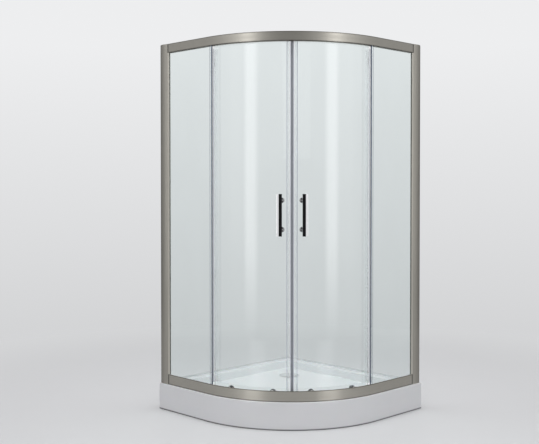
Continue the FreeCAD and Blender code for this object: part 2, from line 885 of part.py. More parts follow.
def hook_seal():
    low = bottom_rail_top + hook_end_distance
    high = top_rail_bottom - hook_end_distance
    edge = door_edge_angle()
    start = edge - turn(hook_clip_length, door_inset)
    clip = clip_band(start, edge + turn(seal_skin, door_inset), low, high)
    clip = clip.cut(door_glass())
    tip = pane_back + seal_skin + hook_tip_gap
    section = box_points(tip, door_inset - seal_skin, low, high)
    fin = arc_band(section, hook_angle(), hook_angle() + turn(fin_thickness, door_inset))
    return clip.fuse(fin).removeSplitter()


def magnet_seal():
    low = door_bottom_height + drip_clip_height + 1
    high = door_top_height
    start = turn(meeting_gap + magnet_width, door_inset)
    end = meeting_glass_angle() + turn(meeting_clip_length, door_inset)
    clip = clip_band(start, end, low, high)
    return clip.cut(door_glass())


def magnet_strip():
    low = door_bottom_height + drip_clip_height + 1
    high = door_top_height
    middle = door_inset + glass_thickness / 2
    section = box_points(middle - magnet_thickness / 2, middle + magnet_thickness / 2, low, high)
    return arc_band(section, turn(meeting_gap, door_inset), turn(meeting_gap + magnet_width, door_inset))


def drip_seal():
    low = door_bottom_height - seal_skin
    high = door_bottom_height + drip_clip_height
    start = turn(meeting_gap, door_inset)
    clip = clip_band(start, door_edge_angle(), low, high).cut(door_glass())
    wiper = box_points(door_inset, door_inset + 2 * seal_skin, rim_height + drip_floor_gap, low)
    return clip.fuse(arc_band(wiper, start, door_edge_angle())).removeSplitter()


# ---------------------------------------------------------------- rollers
def roller_axle(angle, height):
    """Turned boss on the outside of the glass, with the stud through it and the axle for the wheel."""
    boss = spindle(boss_radius, door_inset, door_inset - boss_thickness, stud_height(height))
    boss = rounded_rim(boss, door_inset - boss_thickness, boss_thickness / 2)
    stud = spindle(stud_radius, door_back + cap_seat_gap, door_inset, stud_height(height))
    wheel_outside = wheel_inset - wheel_width / 2 - side_float
    wheel_inside = wheel_inset + wheel_width / 2 + side_float
    axle = spindle(stud_radius, door_inset - boss_thickness / 2, wheel_outside, height)
    shoulder = spindle(axle_shoulder_radius, wheel_inside + axle_shoulder_length, wheel_inside, height)
    head = spindle(axle_head_radius, wheel_outside, wheel_outside - axle_head_height, height)
    return on_door(boss.fuse([stud, axle, shoulder, head]).removeSplitter(), angle)


def roller_axles():
    return Part.makeCompound([roller_axle(angle, height) for angle, height in roller_places()])


def roller_cap(angle, height):
    base = door_back + cap_seat_gap
    cap = spindle(cap_radius, base + cap_height, base, stud_height(height))
    cap = rounded_rim(cap, base + cap_height, cap_height / 3)
    return on_door(cap, angle)


def roller_caps():
    return Part.makeCompound([roller_cap(angle, height) for angle, height in roller_places()])


def wheel(angle, height):
    outside = wheel_inset - wheel_width / 2
    tyre = spindle(wheel_radius, outside + wheel_width, outside, height)
    tyre = rounded_rim(tyre, outside, wheel_groove)
    tyre = rounded_rim(tyre, outside + wheel_width, wheel_groove)
    bore = spindle(stud_radius + wheel_bore_gap, outside + wheel_width + 1, outside - 1, height)
    return on_door(tyre.cut(bore), angle)


# ---------------------------------------------------------------- handles
def bar_radius_inner():
    return front_radius - door_inset + bar_standoff


def handle_block(radius_from, radius_to, lateral_from, lateral_to):
    size = (radius_to - radius_from, lateral_to - lateral_from, handle_length)
    return Part.makeBox(*size, Vector(radius_from, lateral_from, handle_height - handle_length / 2))


def handle_bar():
    back = bar_radius_inner()
    front = back + bar_thickness
    bar = handle_block(back, front, post_to_bar_edge - bar_face_width, post_to_bar_edge)
    bar = bar.makeFillet(bar_edge_radius, bar.Edges)
    step = post_to_bar_edge - insert_width
    rebate = handle_block(front - insert_depth, front + 1, step, post_to_bar_edge + 1)
    return on_door(bar.cut(rebate), post_angle())


def handle_insert():
    front = bar_radius_inner() + bar_thickness
    insert = handle_block(front - insert_depth, front, post_to_bar_edge - insert_width, post_to_bar_edge)
    edges = [edge for edge in insert.Edges if edge.BoundBox.XMin > front - 1e-4]
    insert = insert.makeFillet(bar_edge_radius / 2, edges)
    return on_door(insert, post_angle())


def handle_posts():
    posts = []
    for height in post_heights():
        rosette = spindle(rosette_radius, door_inset, door_inset - rosette_thickness, height)
        rosette = rounded_rim(rosette, door_inset - rosette_thickness, rosette_thickness / 3)
        post = spindle(post_radius, door_back + cap_seat_gap, door_inset - bar_standoff, height)
        posts.append(on_door(rosette.fuse(post).removeSplitter(), post_angle()))
    return Part.makeCompound(posts)


def handle_knobs():
    knobs = []
    base = door_back + cap_seat_gap
    for height in post_heights():
        knob = spindle(knob_radius, base + knob_height, base, height)
        knob = rounded_rim(knob, base + knob_height, knob_height / 4)
        knobs.append(on_door(knob, post_angle()))
    return Part.makeCompound(knobs)


# ---------------------------------------------------------------- output
export("tray_shell", tray_shell())
export("tray_support_board", support_board())
export("tray_support_bars", support_bars())
export("tray_foot_pads", foot_pads())
export("tray_foot_rods", foot_rods())
export("tray_foot_nuts", foot_nuts())
export("waste_flange", waste_flange())
export("waste_cover", waste_cover())
export("waste_seal", waste_seal())
export("waste_body", waste_body())
export("waste_outlet", waste_outlet())
export("bottom_rail", bottom_rail())
export("top_rail", top_rail())
export("channel_caps", channel_caps())
export("jamb_screws", jamb_screws())
export("rail_end_blocks", end_blocks())
export("rail_screws", rail_screws())
export("door_stops", door_stops())
export_pair("wall_channel", wall_channel())
export_pair("jamb", jamb())
export_pair("fixed_pane", fixed_pane())
export_pair("glazing_gaskets", glazing_gaskets())
export_pair("strike_seal", strike_seal())
export_pair("door_glass", door_glass())
export_pair("hook_seal", hook_seal())
export_pair("magnet_seal", magnet_seal())
export_pair("magnet_strip", magnet_strip())
export_pair("drip_seal", drip_seal())
export_pair("handle_bar", handle_bar())
export_pair("handle_insert", handle_insert())
export_pair("handle_posts", handle_posts())
export_pair("handle_knobs", handle_knobs())
export_pair("roller_axles", roller_axles())
export_pair("roller_caps", roller_caps())
for row, height in (("bottom", bottom_axle_height), ("top", top_axle_height)):
    for place, angle in zip(("inner", "outer"), roller_angles()):
        export_pair(row + "_" + place + "_wheel", wheel(angle, height))
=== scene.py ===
"""Looks of a quadrant shower enclosure: its finishes, its fine parts and the studio round it.

Everything is in metres, in the frame of the packed model: the origin lies on the floor at the centre
of the square footprint, the two room walls are at X = -0.5 and Y = +0.5, and the curved front faces
+X and -Y.
"""
import json
import math

import bmesh
import bpy
from mathutils import Matrix, Vector


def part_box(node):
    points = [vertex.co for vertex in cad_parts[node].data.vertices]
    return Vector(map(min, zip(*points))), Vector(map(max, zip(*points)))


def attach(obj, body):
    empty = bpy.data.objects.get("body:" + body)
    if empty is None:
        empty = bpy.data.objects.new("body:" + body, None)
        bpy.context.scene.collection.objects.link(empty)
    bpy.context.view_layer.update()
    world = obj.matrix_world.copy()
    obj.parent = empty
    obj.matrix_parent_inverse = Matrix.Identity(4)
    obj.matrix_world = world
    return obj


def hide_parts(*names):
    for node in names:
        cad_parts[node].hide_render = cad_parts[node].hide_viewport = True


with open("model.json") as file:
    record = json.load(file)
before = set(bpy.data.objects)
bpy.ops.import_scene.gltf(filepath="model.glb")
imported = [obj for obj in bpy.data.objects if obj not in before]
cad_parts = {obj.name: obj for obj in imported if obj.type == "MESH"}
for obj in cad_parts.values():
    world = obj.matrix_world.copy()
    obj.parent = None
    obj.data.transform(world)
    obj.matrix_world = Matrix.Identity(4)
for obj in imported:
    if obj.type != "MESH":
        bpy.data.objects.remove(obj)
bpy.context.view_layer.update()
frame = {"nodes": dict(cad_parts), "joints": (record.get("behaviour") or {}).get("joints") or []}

bl_info = {
    "name": "Quadrant shower enclosure",
    "version": (1, 0, 0),
    "blender": (4, 5, 0),
    "location": "3D View > Sidebar > Shower",
    "description": "Finishes and fine parts of a quadrant shower enclosure, with a plain studio",
    "category": "Object",
}

SIDES = ("left", "right")
RAILS = ("bottom_rail", "top_rail")
UP = Vector((0, 0, 1))
FRONT_RADIUS = 0.615                 # radius of the tray's curved front
TRAY_LOW, TRAY_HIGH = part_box("tray_shell")
ARC_CENTRE = Vector((TRAY_HIGH.x - FRONT_RADIUS, TRAY_LOW.y + FRONT_RADIUS, 0))
MIDDLE_AZIMUTH = math.radians(-45)   # from the arc's centre to where the doors meet
PLAN = (1.0, 1.0, 0.0)               # keeps the X and Y of a place and drops its height
NOISE_RANGE = (0.3, 0.7)             # where most values of a noise lie
END_REACH = 0.0002                   # how near to an end a point counts as on it
HAIR_GAP = 0.00012                   # how far a pane's faces are drawn in
SHARP_ANGLE = math.radians(35)       # edges sharper than this stay sharp

# Colours that the panel doesn't offer
WASTE_RUBBER = (0.03, 0.03, 0.032)
STOP_RUBBER = (0.02, 0.02, 0.021)
GASKET_RUBBER = (0.10, 0.102, 0.10)
END_BLOCK = (0.12, 0.12, 0.125)
# Pale colour of the seal lines: a painted glint of light along the clear seals' edges
SEAL_GLINT = (0.56, 0.60, 0.70)
WHEEL_NYLON = (0.70, 0.70, 0.68)
ROLLER_CAP = (0.20, 0.20, 0.205)
DAYLIGHT = (0.97, 0.98, 1.0)


# ---------------------------------------------------------------- settings
def colour_setting(name, description, default):
    return bpy.props.FloatVectorProperty(
        name=name, description=description, subtype="COLOR", size=3, min=0.0, max=1.0, default=default)


def share_setting(name, description, default):
    return bpy.props.FloatProperty(
        name=name, description=description, subtype="FACTOR", min=0.0, max=1.0, default=default)


def length_setting(name, description, default):
    return bpy.props.FloatProperty(
        name=name, description=description, subtype="DISTANCE", unit="LENGTH", min=0.0, default=default,
        precision=4)


class MetalSettings(bpy.types.PropertyGroup):
    """Colours of the metal parts"""
    nickel: colour_setting("Nickel", "Satin nickel of the rails and wall profiles", (0.385, 0.368, 0.33))
    nickel_roughness: share_setting("Nickel roughness", "Gloss of the satin nickel", 0.38)
    chrome: colour_setting("Chrome", "Polished chrome of handles and waste cover", (0.98, 0.982, 0.99))
    insert: colour_setting("Insert", "Black strip in the handle's face", (0.005, 0.005, 0.006))
    steel: colour_setting("Steel", "Plated steel of screws, rods and nuts", (0.52, 0.53, 0.55))


class GlassSettings(bpy.types.PropertyGroup):
    """Colours of the glass and its seals"""
    face: colour_setting("Glass", "Clear glass seen through its faces", (0.865, 0.915, 0.91))
    edge: colour_setting("Glass edge", "Ground edges of the glass", (0.10, 0.135, 0.14))
    seal: colour_setting("Clear seal", "Clear plastic of the seals", (0.93, 0.96, 1.0))
    seal_rib: colour_setting("Seal rib", "Thick ribs of the seals", (0.13, 0.17, 0.26))
    magnet: colour_setting("Magnet", "Magnetic strip inside the seals", (0.235, 0.25, 0.285))
    rib_width: length_setting("Rib width", "Width of a rib on a seal", 0.0016)


class TraySettings(bpy.types.PropertyGroup):
    """Colours of the tray and what stands under it"""
    acrylic: colour_setting("Acrylic", "White acrylic of the tray", (0.84, 0.84, 0.855))
    board: colour_setting("Board", "Chipboard under the tray", (0.50, 0.36, 0.21))
    paint: colour_setting("Paint", "Powder coat of the support bars", (0.30, 0.31, 0.32))
    pipe: colour_setting("Pipe", "White plastic of the waste trap", (0.74, 0.75, 0.74))
    foot: colour_setting("Foot", "Moulded plastic of the foot pads", (0.045, 0.046, 0.05))
    thread_pitch: length_setting("Thread pitch", "Pitch of the threaded rods", 0.0018)


class StudioSettings(bpy.types.PropertyGroup):
    """Floor, backdrop and lamps"""
    floor: colour_setting("Floor", "Pale floor", (0.70, 0.70, 0.71))
    high: colour_setting("Upper backdrop", "Pale surroundings above", (0.85, 0.855, 0.865))
    low: colour_setting("Lower backdrop", "Pale surroundings at the floor", (0.655, 0.66, 0.67))
    ambient: share_setting("Ambient", "Light that the surroundings give", 0.43)
    floor_radius: length_setting("Floor radius", "Where the floor has faded into the backdrop", 3.4)

# ---------------------------------------------------------------- nodes
def shade(colour, factor):
    return tuple(min(1.0, c * factor) for c in colour)


class Nodes:
    """The node tree of a material or of the world."""

    def __init__(self, owner):
        owner.use_nodes = True
        self.tree = owner.node_tree
        self.tree.nodes.clear()

    def give(self, socket, value):
        """Links a socket to an output, or sets it to a number, a colour or a vector."""
        if isinstance(value, bpy.types.NodeSocket):
            self.tree.links.new(value, socket)
        else:
            socket.default_value = (*value, 1.0) if socket.type == "RGBA" else value

    def node(self, kind, inputs=None, **settings):
        """A new node, with an output or a value for some of its inputs."""
        made = self.tree.nodes.new(kind)
        for name, value in settings.items():
            setattr(made, name, value)
        for socket, value in (inputs or {}).items():
            self.give(made.inputs[socket], value)
        return made

    def math(self, operation, first, second=0.0):
        return self.node("ShaderNodeMath", {0: first, 1: second}, operation=operation).outputs[0]

    def vector(self, operation, first, second=(0.0, 0.0, 0.0)):
        return self.node("ShaderNodeVectorMath", {0: first, 1: second}, operation=operation).outputs

    def parts(self, vector):
        """The X, Y and Z of a vector."""
        return self.node("ShaderNodeSeparateXYZ", {0: vector}).outputs

    def ramp(self, value, low, high, to_low=0.0, to_high=1.0, kind="SMOOTHSTEP"):
        """Goes from to_low to to_high while a value goes from low to high."""
        limits = {"Value": value, "From Min": low, "From Max": high, "To Min": to_low, "To Max": to_high}
        return self.node("ShaderNodeMapRange", limits, interpolation_type=kind).outputs["Result"]

    def spread(self, noise, to_low=0.0, to_high=1.0):
        """A noise with its usual range spread over another one."""
        return self.ramp(noise, *NOISE_RANGE, to_low, to_high)

    def near(self, output, value, reach):
        """1 where an output has a value, 0 beyond its reach."""
        away = self.math("ABSOLUTE", self.math("SUBTRACT", output, value))
        return self.ramp(away, 0.0, reach, 1.0, 0.0)

    def mix(self, factor, first, second):
        """Colour between two colours, each a colour or an output."""
        made = self.node("ShaderNodeMix", {"Factor": factor}, data_type="RGBA")
        sockets = [s for s in made.inputs if s.type == "RGBA"]
        for socket, value in zip(sockets, (first, second)):
            self.give(socket, value)
        return [s for s in made.outputs if s.type == "RGBA"][0]

    def shades(self, factor, colour, low, high):
        """Colour between two shades of one colour."""
        return self.mix(factor, shade(colour, low), shade(colour, high))

    def mixed(self, factor, first, second):
        """Shader between two shaders."""
        return self.node("ShaderNodeMixShader", {0: factor, 1: first, 2: second}).outputs[0]


class Finish(Nodes):
    """One material, built from nodes round a Principled shader."""

    def __init__(self, name, **sockets):
        self.material = bpy.data.materials.new(name)
        super().__init__(self.material)
        titles = {s: s.replace("_", " ").title().replace("Ior", "IOR") for s in sockets}
        self.shader = self.node("ShaderNodeBsdfPrincipled", {titles[s]: v for s, v in sockets.items()})
        self.output = self.node("ShaderNodeOutputMaterial")
        self.surface(self.shader.outputs[0])
        self.place = self.node("ShaderNodeTexCoord").outputs["Object"]

    def normal(self):
        return self.node("ShaderNodeNewGeometry").outputs["Normal"]

    def level(self):
        """1 on level faces, 0 on upright ones."""
        return self.math("ABSOLUTE", self.parts(self.normal())["Z"])

    def around_front(self):
        """Distance from the arc's centre and height, so that lines follow the curve."""
        flat = self.vector("MULTIPLY", self.place, PLAN)["Vector"]
        distance = self.vector("DISTANCE", flat, tuple(ARC_CENTRE))["Value"]
        height = self.parts(self.place)["Z"]
        return self.node("ShaderNodeCombineXYZ", {"X": distance, "Y": height}).outputs[0]

    def noise(self, stretch, detail=2.0, place=None):
        """Noise with one fineness for all directions, or one for each."""
        if isinstance(stretch, float):
            stretch = (stretch, stretch, stretch)
        scaled = self.vector("MULTIPLY", place or self.place, stretch)["Vector"]
        inputs = {"Vector": scaled, "Scale": 1.0, "Detail": detail}
        return self.node("ShaderNodeTexNoise", inputs).outputs["Fac"]

    def cells(self, scale):
        return self.node("ShaderNodeTexVoronoi", {"Vector": self.place, "Scale": scale}).outputs

    def colour(self, output):
        self.give(self.shader.inputs["Base Color"], output)

    def roughness(self, noise, low, high):
        self.give(self.shader.inputs["Roughness"], self.spread(noise, low, high))

    def bump(self, height, depth, strength):
        made = self.node("ShaderNodeBump", {"Height": height, "Distance": depth, "Strength": strength})
        self.give(self.shader.inputs["Normal"], made.outputs[0])

    def surface(self, shader):
        self.give(self.output.inputs["Surface"], shader)

    def clear_to_light(self):
        """Lamps shine through the piece, as they do through thin clear glass."""
        tint = tuple(self.shader.inputs["Base Color"].default_value)[:3]
        clear = self.node("ShaderNodeBsdfTransparent", {"Color": [math.sqrt(share) for share in tint]})
        in_shadow = self.node("ShaderNodeLightPath").outputs["Is Shadow Ray"]
        self.surface(self.mixed(in_shadow, self.shader.outputs[0], clear.outputs[0]))


# ---------------------------------------------------------------- finishes
def painted_rail_edge_shade(finish):
    """1 on the rails' upright faces by their edges and ends, where shade is painted into the colour."""
    edge_reach, end_reach = 0.0055, 0.013
    place = finish.parts(finish.place)
    lines = [("Z", corner.z, edge_reach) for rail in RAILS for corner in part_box(rail)]
    low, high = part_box("top_rail")
    lines += [("X", low.x, end_reach), ("Y", high.y, end_reach)]
    dark = 0.0
    for axis, value, reach in lines:
        dark = finish.math("MAXIMUM", dark, finish.near(place[axis], value, reach))
    upright = finish.ramp(finish.level(), 0.5, 0.9, 1.0, 0.0)
    return finish.math("MULTIPLY", dark, upright)


def away_from_walls(finish):
    """Distance from the nearer of the two room walls."""
    place = finish.parts(finish.place)
    from_left = finish.math("SUBTRACT", place["X"], TRAY_LOW.x)
    from_right = finish.math("SUBTRACT", TRAY_HIGH.y, place["Y"])
    return finish.math("MINIMUM", from_left, from_right)


def satin_nickel(name, along_front, painted_lightness=1.0):
    """Brushed and plated aluminium: fine lines along the profile, soft wear, and painted shade at the
    rails' edges and beside the walls.
    """
    metal = bpy.context.scene.shower_metal
    finish = Finish(name, metallic=1.0, anisotropic=0.7)
    colour = shade(tuple(metal.nickel), painted_lightness)
    fine_grain, broad_grain = 2600.0, 160.0
    if along_front:
        upward = finish.node("ShaderNodeCombineXYZ", {"Z": 1.0}).outputs[0]
        finish.give(finish.shader.inputs["Tangent"], upward)
        place = finish.around_front()
        fine = finish.noise((fine_grain, fine_grain, 1.0), place=place)
        broad = finish.noise((broad_grain, broad_grain, 1.0), place=place)
    else:
        fine = finish.noise((fine_grain, fine_grain, 9.0))
        broad = finish.noise((broad_grain, broad_grain, 2.0))
    wear = finish.ramp(finish.noise(9.0, 3.0), 0.35, 0.65, 0.0, 0.35)
    wear_and_painted_shade = finish.mix(wear, finish.shades(finish.spread(fine), colour, 0.93, 1.05), shade(colour, 0.97))
    if along_front:
        # Painted shade along the rails' edges and at their ends.
        wear_and_painted_shade = finish.mix(painted_rail_edge_shade(finish), wear_and_painted_shade, shade(colour, 0.15))
    else:
        away = away_from_walls(finish)
        # Painted shade beside the room walls: the profiles darken towards the wall, most of all right at
        # the joint.
        painted_wall_shade = finish.ramp(away, 0.004, 0.056, 0.36, 0.0)
        painted_wall_joint_shade = finish.ramp(away, 0.002, 0.009, 0.55, 0.0)
        wear_and_painted_shade = finish.mix(painted_wall_shade, wear_and_painted_shade, shade(colour, 0.35))
        wear_and_painted_shade = finish.mix(painted_wall_joint_shade, wear_and_painted_shade, shade(colour, 0.2))
    finish.colour(wear_and_painted_shade)
    finish.roughness(broad, metal.nickel_roughness - 0.05, metal.nickel_roughness + 0.07)
    finish.bump(fine, 0.00002, 0.35)
    return finish.material


def polished_chrome(name, colour, roughness=0.06, painted_side_shade=False):
    """Bright plating with faint swirls. When asked, upright faces get painted shade, as dark as the shaded
    surroundings they mirror.
    """
    finish = Finish(name, metallic=1.0)
    swirl = finish.noise(320.0, 3.0)
    plate = finish.shades(finish.spread(finish.noise(35.0)), colour, 0.96, 1.0)
    if painted_side_shade:
        plate = finish.mix(finish.ramp(finish.level(), 0.3, 0.9), shade(colour, 0.12), plate)
    finish.colour(plate)
    finish.roughness(swirl, roughness - 0.02, roughness + 0.05)
    finish.bump(swirl, 0.000008, 0.25)
    return finish.material


def plated_steel(name, colour, roughness=0.3):
    """Plated steel with small blotches from the bath."""
    finish = Finish(name, metallic=1.0)
    blotch = finish.noise(140.0, 4.0)
    finish.colour(finish.shades(finish.spread(blotch), colour, 0.82, 1.0))
    finish.roughness(blotch, roughness - 0.06, roughness + 0.1)
    finish.bump(finish.cells(420.0)["Distance"], 0.00002, 0.3)
    return finish.material


def white_acrylic():
    """Glossy sanitary acrylic with a slight ripple, a grey band on the rim along the walls and a painted
    contact shadow as a dark line at the floor.
    """
    colour = tuple(bpy.context.scene.shower_tray.acrylic)
    finish = Finish("white_acrylic", coat_weight=0.25, coat_roughness=0.05,
                    subsurface_weight=0.04, subsurface_scale=0.004)
    ripple = finish.noise(7.0)
    peel = finish.noise(380.0)
    height = finish.parts(finish.place)["Z"]
    rim = TRAY_HIGH.z - 0.006
    on_rim = finish.ramp(height, rim - 0.001, rim + 0.002)
    by_wall = finish.ramp(away_from_walls(finish), 0.004, 0.010, 0.55, 0.0)
    # Painted contact shadow: the acrylic darkens within 9 mm of the floor.
    painted_floor_shadow = finish.near(height, 0.0, 0.009)
    skin = finish.shades(finish.spread(ripple), colour, 0.985, 1.0)
    skin = finish.mix(finish.math("MULTIPLY", by_wall, on_rim), skin, shade(colour, 0.3))
    finish.colour(finish.mix(painted_floor_shadow, skin, shade(colour, 0.06)))
    finish.roughness(peel, 0.12, 0.2)
    ripple_height, peel_height = 6.0, 0.1
    both = finish.math("ADD", finish.math("MULTIPLY", ripple, ripple_height),
                       finish.math("MULTIPLY", peel, peel_height))
    finish.bump(both, 0.0001, 0.4)
    return finish.material


def clear_glass(name, across=None):
    """Toughened glass: almost clear through its faces and green at its ground edges.

    A flat pane's faces look along the axis called across, and a door's look along the arc's radius.
    """
    glass = bpy.context.scene.shower_glass
    finish = Finish(name, transmission_weight=1.0, ior=1.5, roughness=0.0, base_color=tuple(glass.face))
    if across:
        through = finish.parts(finish.normal())[across]
    else:
        flat = finish.vector("MULTIPLY", finish.place, PLAN)["Vector"]
        outward = finish.vector("SUBTRACT", flat, tuple(ARC_CENTRE))["Vector"]
        outward = finish.vector("NORMALIZE", outward)["Vector"]
        through = finish.vector("DOT_PRODUCT", finish.normal(), outward)["Value"]
    face = finish.ramp(finish.math("ABSOLUTE", through), 0.5, 0.9)
    film = finish.spread(finish.noise((6.0, 6.0, 3.0), 3.0))
    clear = finish.shades(film, tuple(glass.face), 0.985, 1.0)
    finish.colour(finish.mix(face, tuple(glass.edge), clear))
    finish.clear_to_light()
    return finish.material


def grained(name, colour, stretch, shades, gloss, bump=None, detail=2.0, **sockets):
    """A finish with colour, gloss and skin that follow one noise."""
    finish = Finish(name, **sockets)
    grain = finish.noise(stretch, detail)
    finish.colour(finish.shades(grain, colour, *shades))
    finish.roughness(grain, *gloss)
    if bump:
        finish.bump(grain, *bump)
    return finish.material


def black_insert():
    """Satin black strip with a fine lengthwise grain."""
    colour = tuple(bpy.context.scene.shower_metal.insert)
    return grained("black_insert", colour, (1900.0, 1900.0, 45.0), (1.0, 1.9), (0.34, 0.48),
                   (0.00003, 0.3), specular_ior_level=0.08)


def clear_seal():
    """Clear extruded plastic, nearly invisible on its flats, with faint lines from the die."""
    colour = tuple(bpy.context.scene.shower_glass.seal)
    return grained("clear_seal_finish", colour, (1500.0, 1500.0, 2.0), (0.96, 1.02), (0.16, 0.3),
                   alpha=0.09, specular_ior_level=0.3, base_color=colour)


def seal_rib(name, colour):
    """The thicker walls of a seal, where its plastic looks bluish grey."""
    return grained(name, colour, (900.0, 900.0, 3.0), (0.85, 1.15), (0.2, 0.34),
                   (0.00003, 0.3), transmission_weight=0.2, ior=1.45, base_color=colour)


def rubber(name, colour, scale=500.0):
    """Matt rubber with a fine skin."""
    return grained(name, colour, scale, (0.8, 1.2), (0.5, 0.7), (0.00008, 0.4), 3.0,
                   specular_ior_level=0.3)


def powder_coat():
    """Grey powder coat with its usual orange peel."""
    colour = tuple(bpy.context.scene.shower_tray.paint)
    return grained("powder_coat", colour, 900.0, (0.9, 1.1), (0.4, 0.55), (0.0001, 0.5),
                   specular_ior_level=0.5)


def moulded_plastic(name, colour, roughness=0.35):
    """Injection-moulded plastic with a light spark texture."""
    finish = Finish(name, specular_ior_level=0.45)
    cloud = finish.noise(40.0)
    finish.colour(finish.shades(cloud, colour, 0.9, 1.06))
    finish.roughness(cloud, roughness - 0.05, roughness + 0.08)
    finish.bump(finish.cells(900.0)["Distance"], 0.00005, 0.35)
    return finish.material


def chipboard():
    """Pressed chips of several browns with a sanded face."""
    colour = tuple(bpy.context.scene.shower_tray.board)
    finish = Finish("chipboard", specular_ior_level=0.2)
    chips = finish.cells(260.0)
    specks = finish.noise(700.0)
    chip_shade = finish.node("ShaderNodeSeparateColor", {0: chips["Color"]}).outputs[0]
    flakes = finish.shades(chip_shade, colour, 0.62, 1.25)
    finish.colour(finish.mix(finish.ramp(specks, 0.6, 0.75, 0.0, 0.7), flakes, shade(colour, 0.4)))
    finish.roughness(specks, 0.65, 0.85)
    finish.bump(chips["Distance"], 0.0003, 0.4)
    return finish.material


# ---------------------------------------------------------------- putting finishes on
def dress(node, material):
    """Gives a CAD node its finish."""
    piece = frame["nodes"][node]
    if not piece.material_slots:
        piece.data.materials.append(material)
    for holder in piece.material_slots:
        holder.material = material


def dress_both(name, material):
    for side in SIDES:
        dress(side + "_" + name, material)


def slimmed(node):
    """Draws a pane's faces in by a hair, so that no seal or boss lies in the same plane as the glass."""
    thinner = frame["nodes"][node].modifiers.new("hair_gap", "DISPLACE")
    thinner.mid_level = 0.0
    thinner.strength = -HAIR_GAP


def made_once(name, maker, *values):
    """The material of that name, made on its first use."""
    return bpy.data.materials.get(name) or maker(*values)


def steel_of_screws():
    metal = bpy.context.scene.shower_metal
    return made_once("screw_steel", plated_steel, "screw_steel", tuple(metal.steel))


# ---------------------------------------------------------------- fine parts
def solids_of(node):
    """(lowest corner, highest corner, points) of each separate solid in a CAD node."""
    mesh = bmesh.new()
    mesh.from_mesh(frame["nodes"][node].data)
    bmesh.ops.remove_doubles(mesh, verts=mesh.verts, dist=0.000001)
    left = set(mesh.verts)
    found = []
    while left:
        reached = [left.pop()]
        points = []
        while reached:
            corner = reached.pop()
            points.append(corner.co.copy())
            for edge in corner.link_edges:
                other = edge.other_vert(corner)
                if other in left:
                    left.remove(other)
                    reached.append(other)
        low = Vector(min(p[i] for p in points) for i in range(3))
        high = Vector(max(p[i] for p in points) for i in range(3))
        found.append((low, high, points))
    mesh.free()
    return sorted(found, key=lambda f: tuple(round(c, 5) for c in f[0]))


def stood_on(place, axis):
    """Matrix that takes a part made round Z at the origin to a place, with its Z along an axis."""
    return Matrix.Translation(place) @ axis.to_track_quat("Z", "Y").to_matrix().to_4x4()


def inward_at(place):
    """Unit vector from a place on the curved front to the arc's centre."""
    way = ARC_CENTRE - place
    way.z = 0
    return way.normalized()


def around(share):
    """Unit vector in plan, at a share of a full turn."""
    return Vector((math.cos(2 * math.pi * share), math.sin(2 * math.pi * share), 0))


def off_axis(point, start, axis):
    """Distance of a point from the line through a start along an axis."""
    way = point - start
    return (way - axis * way.dot(axis)).length


def turned(mesh, profile, segments, matrix):
    """Adds a turned part: a profile of (radius, height) points spun round Z."""
    rings = []
    for radius, height in profile:
        ring = [around(index / segments) * radius + UP * height for index in range(segments)]
        rings.append([mesh.verts.new(matrix @ point) for point in ring])
    for below, above in zip(rings, rings[1:]):
        for index in range(segments):
            after = (index + 1) % segments
            mesh.faces.new((below[index], below[after], above[after], above[index]))
    mesh.faces.new(list(reversed(rings[0])))
    mesh.faces.new(rings[-1])


def bar(mesh, near, far, open_near=False):
    """Adds a bar between two loops of points."""
    near = [mesh.verts.new(point) for point in near]
    far = [mesh.verts.new(point) for point in far]
    for index in range(len(near)):
        after = (index + 1) % len(near)
        mesh.faces.new((near[index], near[after], far[after], far[index]))
    if not open_near:
        mesh.faces.new(list(reversed(near)))
    mesh.faces.new(far)


def prism(mesh, plan, low, high, matrix=Matrix()):
    """Adds a bar on a plan of (x, y) points, upright where no matrix turns it."""
    bar(mesh, *[[matrix @ Vector((x, y, z)) for x, y in plan] for z in (low, high)])


def object_from(name, mesh, material):
    """Turns a bmesh into an object of the scene."""
    data = bpy.data.meshes.new(name)
    mesh.to_mesh(data)
    mesh.free()
    data.materials.append(material)
    made = bpy.data.objects.new(name, data)
    bpy.context.collection.objects.link(made)
    return made


def piece_from(name, mesh, material, body, edge=0.0):
    """Turns a bmesh into a piece that rides on a body."""
    bmesh.ops.recalc_face_normals(mesh, faces=mesh.faces)
    piece = object_from(name, mesh, material)
    piece.data.polygons.foreach_set("use_smooth", [True] * len(piece.data.polygons))
    piece.data.set_sharp_from_angle(angle=SHARP_ANGLE)
    if edge > 0:
        bevel = piece.modifiers.new("soft_edges", "BEVEL")
        bevel.width = edge
        bevel.segments = 2
        bevel.limit_method = "ANGLE"
        bevel.angle_limit = SHARP_ANGLE
        bevel.harden_normals = True
    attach(piece, body)
    return piece


def end_of_screw(low, high, points):
    """(centre of the head's outer face, outward axis, head radius) of a screw's solid."""
    size = high - low
    longest = max(range(3), key=lambda i: size[i])
    along = Vector([float(i == longest) for i in range(3)])
    middle = (low + high) / 2
    ends = []
    for axis, end in ((-along, low[longest]), (along, high[longest])):
        near = [p for p in points if abs(p[longest] - end) < END_REACH]
        face = middle.copy()
        face[longest] = end
        ends.append((face, axis, max(off_axis(p, middle, axis) for p in near)))
    return max(ends, key=lambda found: found[2])


def ends_of_spindle(low, high, points):
    """(centre, axis away from the solid, radius) of the outer and the inner end of a turned fitting."""
    outward = -inward_at((low + high) / 2)
    ends = []
    for axis in (outward, -outward):
        end = max(p.dot(axis) for p in points)
        near = [p for p in points if p.dot(axis) > end - END_REACH]
        centre = Vector((min(p[i] for p in near) + max(p[i] for p in near)) / 2 for i in range(3))
        ends.append((centre, axis, max((p - centre).length for p in near)))
    return ends


